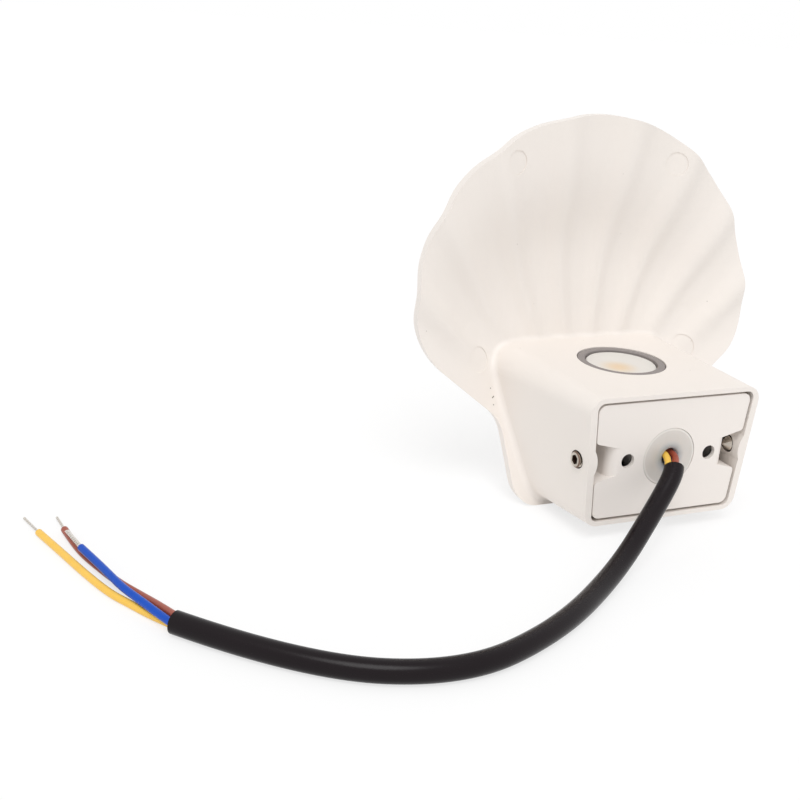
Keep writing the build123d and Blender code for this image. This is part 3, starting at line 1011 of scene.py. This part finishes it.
@dataclass
class Uplight:
    """The lamp in the top of the box: lens, seal, reflector and LED."""

    finishes: tuple[tuple[str, Finish], ...] = (
        ("lens", FrostedGlass("frosted_glass", "#F4F0EA", "#F6DDBB", (3.2, -26.8, 0.0))),
        ("lens_seal", Moulded("grey_silicone_rubber", "#8F8886", "#87807E", roughness=0.55)),
        ("reflector", Metal("metallised_cup", "#E8E8EA", "#DADADD", roughness=0.16)),
        ("led_board", Moulded("white_solder_mask", "#ECEBE6", "#E2E1DB", roughness=0.35)),
        (
            "led_carrier",
            Moulded("white_alumina", "#EEEDE9", "#E4E3DE", roughness=0.6, relief_mm=0.2),
        ),
        (
            "led_phosphor",
            Moulded("phosphor_silicone", "#F0C95A", "#E8BC48", roughness=0.45, relief_mm=0.15),
        ),
    )

    def dress(self, nodes: dict[str, Piece]) -> list[Piece]:
        """Give each part of the lamp its finish.

        Args:
            nodes: the solids' objects.

        Returns:
            The parts.
        """
        for name, finish in self.finishes:
            dress_piece(nodes[name], finish.make())
        return [nodes[name] for name, _ in self.finishes]


@dataclass
class Driver:
    """The LED's driver in the box: board, parts, leads and the small screws."""

    finishes: tuple[tuple[str, Finish], ...] = (
        ("driver_board", Moulded("green_solder_mask", "#1F6B3E", "#1A5F37", roughness=0.32)),
        ("driver_transformer", Moulded("ferrite_and_tape", "#2B2A2C", "#383433", roughness=0.5)),
        ("driver_capacitor", Metal("drawn_aluminium_can", "#C9CBCE", "#B7B9BC", lines=Lay.ALONG_Y)),
        ("driver_rectifier", Moulded("black_epoxy", "#1D1D1F", "#26262A", roughness=0.45)),
        ("driver_fuse", Moulded("fuse_glass_and_paste", "#C9D2CC", "#B9C3BD", roughness=0.2)),
        ("led_positive_lead", Moulded("red_lead_insulation", "#B0211C", "#9C1C18", roughness=0.35)),
        (
            "led_negative_lead",
            Moulded("black_lead_insulation", "#1B1B1C", "#232324", roughness=0.35),
        ),
        (
            "earth_terminal",
            Metal("tinned_brass", "#CFC9BD", "#B7AF9F", roughness=0.32, lines=Lay.ALONG_X),
        ),
    )
    screws: tuple[str, ...] = ("led_board_screws", "driver_screws", "earth_screw")
    plating: Metal = Metal("bright_zinc_plate", "#C6C9CD", "#AEB1B8")

    def dress(self, nodes: dict[str, Piece]) -> list[Piece]:
        """Give each part of the driver its finish.

        Args:
            nodes: the solids' objects.

        Returns:
            The parts and the small screws.
        """
        for name, finish in self.finishes:
            dress_piece(nodes[name], finish.make())
        plating = self.plating.make()
        for name in self.screws:
            dress_piece(nodes[name], plating)
        return [nodes[name] for name, _ in self.finishes] + [nodes[name] for name in self.screws]


@dataclass
class Strand:
    """One insulated core of the cord, or a stretch of it, with its bare end if it has one."""

    name: str
    route: list[Point]
    finish: Moulded
    bare_end: Point = (0.0, 0.0, 0.0)
    length: float = 0.0
    # How many times wider its bare wires are pressed.
    flat: float = 1.0


@dataclass
class Cord:
    """The mains cord: black sheath, three cores and their twisted bare ends."""

    sheath_radius: float = 3.0
    core_radius: float = 1.05
    wires: int = 6
    wire_facets: int = 6
    wire_radius: float = 0.13
    wire_ring: float = 0.28
    wire_crease: float = 70.0
    twist_step: float = 0.8
    twist_turn: float = 24.0
    # How many times wider each of the last steps of a bare end gets.
    fray: float = 1.04
    fray_steps: int = 2
    curve_steps: int = 16
    bevel_steps: int = 8
    sheath_length: float = 186.6
    sheath_route: tuple[Point, ...] = (
        (1.032, 4.422, -1.688),
        (2.08, 6.2, -2.92),
        (12.0, 12.1, -10.8),
        (32.0, 25.0, -21.5),
        (64.4, 47.7, -21.5),
        (97.0, 58.4, -21.5),
        (131.5, 44.0, -21.5),
        (154.2, 16.5, -21.5),
    )
    pvc: Moulded = Moulded(
        "black_pvc_sheath",
        "#120A0E",
        "#170F13",
        roughness=0.25,
        cloud_mm=9.0,
        relief_mm=0.6,
        shine=0.2,
    )
    tinned: Metal = Metal("tinned_copper", "#EAE7E3", "#D3CABF", roughness=0.24, relief_mm=0.2)
    brown: Moulded = Moulded(
        "brown_pvc_core", "#A5523F", "#9A4A38", roughness=0.3, cloud_mm=3.0, shine=0.35
    )
    blue: Moulded = Moulded(
        "blue_pvc_core", "#1552C0", "#114AB2", roughness=0.3, cloud_mm=3.0, shine=0.2
    )
    yellow: Moulded = Moulded(
        "yellow_pvc_core", "#F8CA5C", "#F1C04F", roughness=0.3, cloud_mm=3.0, shine=0.35
    )

    def tails(self) -> list[Strand]:
        """List the cores between the driver and the sheath, through the gland's mouth.

        Returns:
            The three tails.
        """
        return [
            Strand(
                "brown",
                [
                    (-3.2, -20.4, 1.9),
                    (-1.17, -12.2, 0.67),
                    (-1.7, -4.5, 0.4),
                    (-2.6, -0.2, 0.1),
                    (1.0, 5.04, -0.83),
                    (1.5, 5.8, -1.4),
                ],
                self.brown,
            ),
            Strand(
                "blue",
                [
                    (0.5, -20.4, -3.2),
                    (0.0, -12.2, -1.35),
                    (-1.1, -4.5, -1.6),
                    (-1.9, -0.2, -1.9),
                    (0.81, 3.55, -2.69),
                    (1.3, 4.4, -3.3),
                ],
                self.blue,
            ),
            Strand(
                "yellow",
                [
                    (11.6, -18.05, 5.9),
                    (1.17, -13.0, 0.67),
                    (0.55, -4.5, 0.5),
                    (0.45, -0.2, 0.1),
                    (2.49, 3.73, -1.44),
                    (2.9, 4.5, -2.0),
                ],
                self.yellow,
            ),
        ]

    def cores(self) -> list[Strand]:
        """List the cores in the order in which they leave the sheath.

        Returns:
            The three cores with their bare ends.
        """
        return [
            Strand(
                "brown",
                [
                    (153.45, 15.9, -20.555),
                    (155.6, 7.2, -21.98),
                    (158.5, -2.2, -23.45),
                    (162.5, -10.3, -23.45),
                    (166.6, -22.6, -23.45),
                    (168.6, -30.1, -23.45),
                    (169.8, -38.8, -23.45),
                    (170.4, -44.1, -23.45),
                ],
                self.brown,
                (171.0, -53.5, -24.05),
                63.9,
            ),
            Strand(
                "blue",
                [
                    (155.2, 17.35, -21.095),
                    (157.2, 11.9, -21.1925),
                    (159.9, 4.3, -21.1925),
                    (162.7, -3.1, -21.1925),
                    (164.4, -10.5, -21.1925),
                    (166.2, -18.1, -21.1925),
                    (168.7, -27.7, -21.1925),
                ],
                self.blue,
                (170.4, -39.8, -21.815),
                48.1,
                1.7,
            ),
            Strand(
                "yellow",
                [
                    (153.95, 16.3, -22.7825),
                    (158.3, 8.4, -23.45),
                    (161.8, 1.7, -23.45),
                    (165.5, -4.8, -23.45),
                    (169.6, -17.0, -23.45),
                    (173.7, -31.5, -23.45),
                    (177.4, -44.1, -23.45),
                ],
                self.yellow,
                (179.8, -55.4, -24.05),
                66.2,
            ),
        ]

    def lay_curve(self, name: str, route: list[Point], radius: float) -> Piece:
        """Lay a round cord along a smooth curve.

        Args:
            name: the piece's name.
            route: control points in millimetres.
            radius: the cord's radius in millimetres.

        Returns:
            The cord.
        """
        curve = bpy.data.curves.new(name, "CURVE")
        curve.dimensions = "3D"
        spline = curve.splines.new("NURBS")
        spline.points.add(len(route) - 1)
        for knot, point in zip(spline.points, route):
            knot.co = (*metres(point), 1.0)
        spline.order_u = 3
        spline.use_endpoint_u = True
        spline.resolution_u = self.curve_steps
        spline.use_smooth = True
        curve.bevel_depth = radius * MM
        curve.bevel_resolution = self.bevel_steps
        curve.use_fill_caps = True
        cord = bpy.data.objects.new(name, curve)
        bpy.context.scene.collection.objects.link(cord)
        return cord

    def twist_bare_end(self, core: Strand) -> Piece:
        """Twist the bare wires at the end of a core.

        Args:
            core: the core that the wires come out of.

        Returns:
            The bundle of wires.
        """
        start, end = metres(core.route[-1]), metres(core.bare_end)
        steps = round((end - start).length / (self.twist_step * MM))
        stride = (end - start).length / steps
        bpy.ops.object.select_all(action="DESELECT")
        ring = {"vertices": self.wire_facets, "radius": self.wire_radius * MM}
        bpy.ops.mesh.primitive_circle_add(**ring)
        bundle = bpy.context.object
        bundle.name = f"{core.name}_bare_end"
        bpy.ops.object.mode_set(mode="EDIT")
        for i in range(self.wires):
            angle = math.radians(360 / self.wires * i)
            side = Vector((math.cos(angle), math.sin(angle), 0.0)) * self.wire_ring * MM
            bpy.ops.mesh.primitive_circle_add(**ring, location=side)
        bpy.ops.mesh.select_all(action="SELECT")
        for i in range(steps):
            bpy.ops.mesh.extrude_edges_move(TRANSFORM_OT_translate={"value": (0.0, 0.0, stride)})
            level = (0.0, 0.0, stride * (i + 1))
            twist = math.radians(self.twist_turn)
            bpy.ops.transform.rotate(value=twist, orient_axis="Z", center_override=level)
            if i >= steps - self.fray_steps:
                bpy.ops.transform.resize(value=(self.fray, self.fray, 1.0), center_override=level)
        bpy.ops.mesh.select_all(action="SELECT")
        squeeze = (core.flat, 1.0 / math.sqrt(core.flat), 1.0)
        bpy.ops.transform.resize(value=squeeze, center_override=(0, 0, 0))
        bpy.ops.mesh.fill_holes(sides=self.wire_facets)
        bpy.ops.mesh.select_all(action="SELECT")
        bpy.ops.mesh.normals_make_consistent(inside=False)
        bpy.ops.object.mode_set(mode="OBJECT")
        aim = (end - start).normalized()
        across = aim.cross(Vector((0, 0, 1))).normalized()
        turn = Matrix((across, aim.cross(across), aim)).transposed().to_4x4()
        bundle.matrix_world = Matrix.Translation(start) @ turn
        bpy.ops.object.transform_apply(location=True, rotation=True, scale=True)
        bpy.ops.object.shade_smooth_by_angle(angle=math.radians(self.wire_crease))
        return bundle

    def build(self) -> list[Piece]:
        """Lay the sheath and the cores, twist their ends and colour them all.

        Returns:
            Every piece of the cord.
        """
        sheath = self.lay_curve("sheath_smooth", list(self.sheath_route), self.sheath_radius)
        dress_piece(sheath, self.pvc.make())
        stand_in(sheath, Body.LAMP, "cord_sheath")
        pieces = [sheath]
        tinned = self.tinned.make()
        for core in self.cores():
            line = self.lay_curve(f"{core.name}_core_smooth", core.route, self.core_radius)
            wires = self.twist_bare_end(core)
            dress_piece(line, core.finish.make())
            dress_piece(wires, tinned)
            stand_in(line, Body.LAMP, f"{core.name}_core")
            stand_in(wires, Body.LAMP, f"{core.name}_strands")
            pieces += [line, wires]
        return pieces

    def lay_tails(self) -> list[Piece]:
        """Lay the cores' tails through the gland in the colours of the cores.

        Returns:
            The three tails.
        """
        pieces = []
        for core in self.tails():
            tail = self.lay_curve(f"{core.name}_tail_smooth", core.route, self.core_radius)
            dress_piece(tail, bpy.data.materials[core.finish.name])
            stand_in(tail, Body.LAMP, f"{core.name}_tail")
            pieces.append(tail)
        return pieces


@dataclass
class Studio:
    """White table, soft light and the camera behind the lamp."""

    floor_z: float = -24.5
    floor_size: float = 6000.0
    sky: float = 0.7
    key_power: float = 1.25
    key_spread: float = 36.0
    key_place: Point = (240.0, 460.0, 1000.0)
    camera_place: Point = (218.6, 267.8, 131.6)
    camera_up: Point = (-0.0721, -0.3386, 0.9382)
    camera_back: Point = (0.4056, 0.8494, 0.3378)
    lens: float = 54.0
    sensor: float = 36.0
    clip_m: tuple[float, float] = (0.01, 20.0)
    paper: str = "#FDFDFD"
    floor_glow: float = 0.7

    def seen_plainly(self, tree: Tree) -> Socket:
        """Mark what the camera sees straight on, in a reflection or through glass.

        Args:
            tree: the node tree to add to.

        Returns:
            1 for such a ray and 0 for one that only carries light.
        """
        path = add_node(tree, "LightPath")
        seen = path.outputs["Is Camera Ray"]
        for ray in ("Is Glossy Ray", "Is Transmission Ray"):
            either = add_node(tree, "Math", {0: seen, 1: path.outputs[ray]}, operation="MAXIMUM")
            seen = either.outputs[0]
        return seen

    def light(self) -> None:
        """Set the even sky and one broad soft lamp above the table."""
        world = bpy.data.worlds.new("white_studio")
        world.use_nodes = True
        tree = world.node_tree
        tree.nodes.clear()
        seen = self.seen_plainly(tree)
        level = add_node(tree, "MapRange", {"Value": seen, "To Min": self.sky, "To Max": 1.0})
        sky = add_node(tree, "Background", {"Color": WHITE, "Strength": level.outputs[0]})
        add_node(tree, "OutputWorld", {"Surface": sky.outputs[0]})
        bpy.context.scene.world = world
        lamp = bpy.data.lights.new("soft_key", "SUN")
        lamp.energy = self.key_power
        lamp.angle = math.radians(self.key_spread)
        key = bpy.data.objects.new("soft_key", lamp)
        key.location = metres(self.key_place)
        key.rotation_mode = "QUATERNION"
        key.rotation_quaternion = metres(self.key_place).to_track_quat("Z", "Y")
        bpy.context.scene.collection.objects.link(key)

    def lay_floor(self) -> None:
        """Lay the pale table that the lamp and its cord rest on."""
        bpy.ops.object.select_all(action="DESELECT")
        middle = metres((0.0, 0.0, self.floor_z))
        bpy.ops.mesh.primitive_plane_add(size=self.floor_size * MM, location=middle)
        floor = bpy.context.object
        floor.name = "studio_floor"
        material = blank_material("white_table")
        tree = material.node_tree
        seen = self.seen_plainly(tree)
        share = add_node(tree, "Math", {0: seen, 1: self.floor_glow}, operation="MULTIPLY")
        paper = add_node(tree, "BsdfDiffuse", {"Color": linear(self.paper)})
        glow = add_node(tree, "Emission", {"Color": WHITE, "Strength": 1.0})
        layers = {0: share.outputs[0], 1: paper.outputs[0], 2: glow.outputs[0]}
        both = add_node(tree, "MixShader", layers)
        add_node(tree, "OutputMaterial", {"Surface": both.outputs[0]})
        dress_piece(floor, material)

    def aim_camera(self) -> None:
        """Put the camera where the photograph was taken from."""
        back = Vector(self.camera_back).normalized()
        right = Vector(self.camera_up).cross(back).normalized()
        camera = bpy.data.cameras.new("photo_camera")
        camera.sensor_width = self.sensor
        camera.lens = self.lens
        camera.clip_start, camera.clip_end = self.clip_m
        holder = bpy.data.objects.new("photo_camera", camera)
        turn = Matrix((right, back.cross(right), back)).transposed().to_4x4()
        holder.matrix_world = Matrix.Translation(metres(self.camera_place)) @ turn
        bpy.context.scene.collection.objects.link(holder)
        bpy.context.scene.camera = holder

    def build(self) -> None:
        """Set up light, table and camera."""
        bpy.context.scene.view_settings.view_transform = "Standard"
        self.light()
        self.lay_floor()
        self.aim_camera()


def main() -> None:
    """Load the lamp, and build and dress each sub-assembly."""
    logging.basicConfig(level=logging.INFO, format="%(name)s: %(message)s")
    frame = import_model()
    nodes = frame["nodes"]
    Studio().build()
    cord = Cord()
    plate = WallPlate()
    pieces = cord.build() + cord.lay_tails()
    pieces += Casting().dress(nodes)
    pieces += plate.dress(nodes, plate.build())
    pieces += SetScrews().dress()
    pieces += Uplight().dress(nodes) + Driver().dress(nodes)
    for piece in pieces:
        LOG.info("%s in %s", piece.name, piece.data.materials[0].name)


if __name__ == "__main__":
    main()
